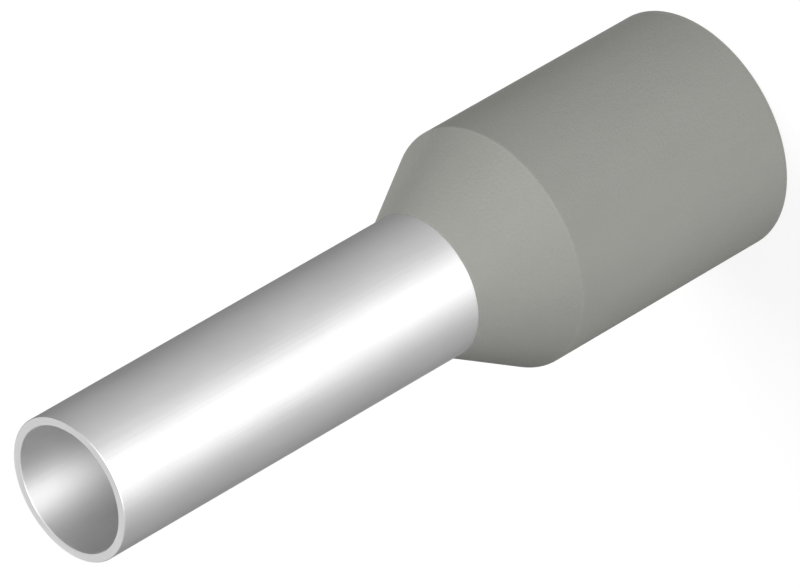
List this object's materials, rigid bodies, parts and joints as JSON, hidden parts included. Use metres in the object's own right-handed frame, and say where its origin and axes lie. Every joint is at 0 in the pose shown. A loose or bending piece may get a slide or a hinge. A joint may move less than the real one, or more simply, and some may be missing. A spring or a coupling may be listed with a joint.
{
  "type": "wire ferrule",
  "caption": "Insulated wire end ferrule: a thin tinned copper sleeve, crimped onto bare strands, in a grey plastic collar that takes the wire's insulation.",
  "frame": {"origin": "centre of the collar's mouth, in the plane that the part stands on", "axes": "+Z along the axis, from the collar's mouth to the sleeve's open tip; X and Y are any two radii, because the part is turned about Z"},
  "size_m": [0.0054, 0.0054, 0.018],
  "materials": {
    "tinned_copper": "satin tin plating on drawn copper",
    "grey_plastic": "moulded, plain, slightly warm grey"
  },
  "bodies": {
    "root": {"tinned_sleeve": "tinned_copper", "insulating_collar": "grey_plastic"}
  },
  "joints": []
}
